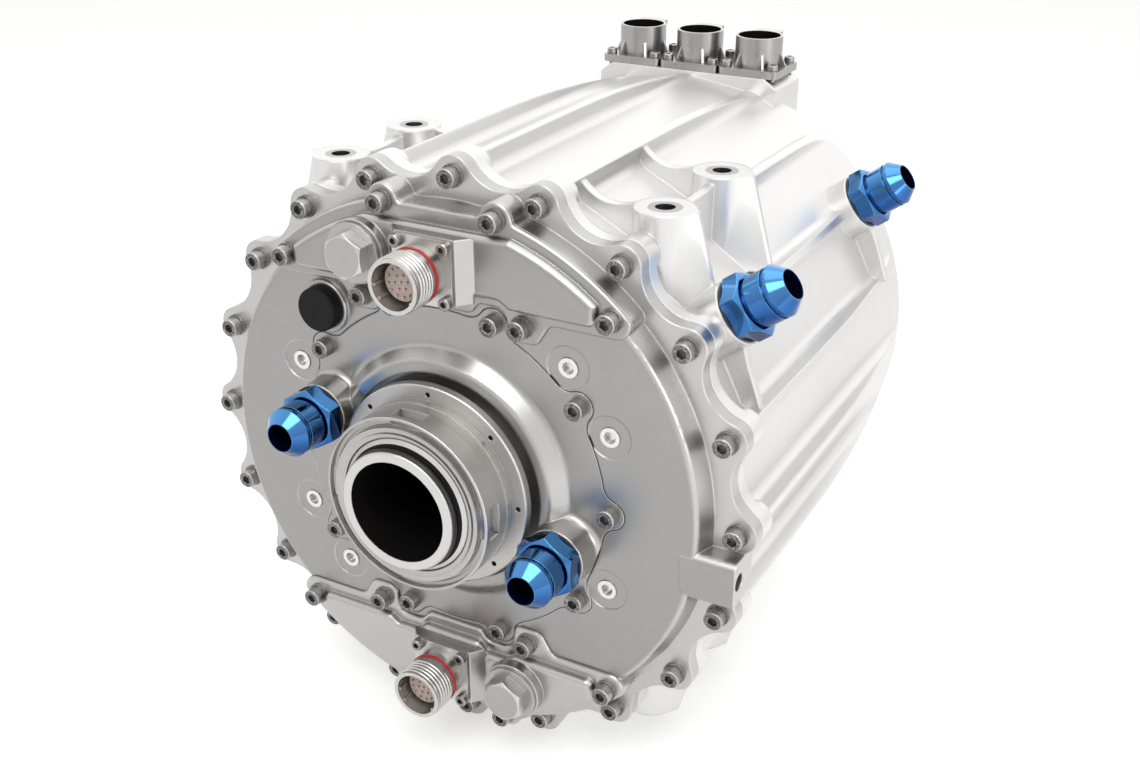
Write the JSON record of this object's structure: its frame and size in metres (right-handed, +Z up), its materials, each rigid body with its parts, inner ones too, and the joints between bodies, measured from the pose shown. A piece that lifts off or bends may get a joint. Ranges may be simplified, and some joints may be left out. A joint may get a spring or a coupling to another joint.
{
  "type": "electric car motor",
  "caption": "Liquid-cooled electric drive motor: ribbed cast housing, bolted front covers, coolant fittings, phase sockets and a hollow output shaft that turns in roller bearings.",
  "frame": {"origin": "on the shaft axis, in the front face of the bolted flange", "axes": "+Z up, -Y out of the output end along the shaft, +X to the side with the two radial fittings"},
  "size_m": [0.2795, 0.3323, 0.2875],
  "materials": {
    "housing_alloy": "fine cast and blasted, light satin",
    "cover_alloy": "machined casting, satin",
    "bolt_steel": "dark zinc, satin",
    "small_screw_steel": "bright, satin",
    "connector_alloy": "nickel finish, satin",
    "insert_plastic": "moulded, matte",
    "band_red": "painted ring, gloss",
    "plug_alloy": "turned, satin",
    "plug_steel": "turned, satin",
    "cap_plastic": "moulded, matte",
    "blue_anodised": "anodised, bright",
    "seal_rubber": "matte",
    "oring_rubber": "semi-gloss",
    "socket_alloy": "turned and milled, satin",
    "contact_metal": "plated, bright",
    "insert_steel": "turned, satin",
    "sleeve_alloy": "turned, satin",
    "core_steel": "laminated, satin",
    "copper_winding": "varnished copper wire",
    "bearing_steel": "ground, bright",
    "cage_brass": "machined, satin",
    "shaft_steel": "ground, satin",
    "ring_steel": "turned, satin",
    "magnet_nickel": "nickel plated"
  },
  "bodies": {
    "housing": {"main_housing": "housing_alloy", "front_cover": "cover_alloy", "bearing_cover": "cover_alloy", "upper_access_cover": "cover_alloy", "lower_access_cover": "cover_alloy", "flange_bolts": "bolt_steel", "bearing_cover_bolts": "bolt_steel", "access_cover_bolts": "bolt_steel", "rear_cover_bolts": "bolt_steel", "connector_screws": "small_screw_steel", "terminal_screws": "small_screw_steel", "upper_connector_shell": "connector_alloy", "lower_connector_shell": "connector_alloy", "upper_connector_insert": "insert_plastic", "lower_connector_insert": "insert_plastic", "connector_bands": "band_red", "upper_hex_plug": "plug_alloy", "lower_hex_plug": "plug_alloy", "breather_cap": "cap_plastic", "cover_plugs": "plug_steel", "front_right_fitting": "blue_anodised", "front_left_fitting": "blue_anodised", "side_front_fitting": "blue_anodised", "side_rear_fitting": "blue_anodised", "fitting_seals": "seal_rubber", "phase_socket_left": "socket_alloy", "phase_socket_middle": "socket_alloy", "phase_socket_right": "socket_alloy", "phase_contacts": "contact_metal", "phase_insulators": "insert_plastic", "mount_inserts": "insert_steel", "rear_cover": "cover_alloy", "cooling_sleeve": "sleeve_alloy", "stator_core": "core_steel", "stator_windings": "copper_winding", "shaft_seal": "seal_rubber", "front_bearing_outer_ring": "bearing_steel", "rear_bearing_outer_ring": "bearing_steel", "resolver_stator": "core_steel"},
    "rotor": {"rotor_shaft": "shaft_steel", "shaft_flange": "shaft_steel", "lock_ring": "ring_steel", "shaft_oring": "oring_rubber", "rotor_core": "core_steel", "rotor_magnets": "magnet_nickel", "rotor_end_plates": "sleeve_alloy", "front_bearing_inner_ring": "bearing_steel", "rear_bearing_inner_ring": "bearing_steel", "resolver_rotor": "core_steel"},
    "front_cage": {"front_bearing_rollers": "bearing_steel", "front_bearing_cage": "cage_brass"},
    "rear_cage": {"rear_bearing_rollers": "bearing_steel", "rear_bearing_cage": "cage_brass"}
  },
  "joints": [
    {"name": "rotor_spin", "type": "hinge", "parent": "housing", "child": "rotor", "pos_m": [0, 0, 0], "axis": [0, 1, 0], "continuous": true},
    {"name": "front_cage_spin", "type": "hinge", "parent": "housing", "child": "front_cage", "pos_m": [0, 0, 0], "axis": [0, 1, 0], "continuous": true},
    {"name": "rear_cage_spin", "type": "hinge", "parent": "housing", "child": "rear_cage", "pos_m": [0, 0, 0], "axis": [0, 1, 0], "continuous": true}
  ],
  "couplings": [
    {"joint": "front_cage_spin", "follows": "rotor_spin", "ratio": 0.44444},
    {"joint": "rear_cage_spin", "follows": "rotor_spin", "ratio": 0.42857}
  ]
}
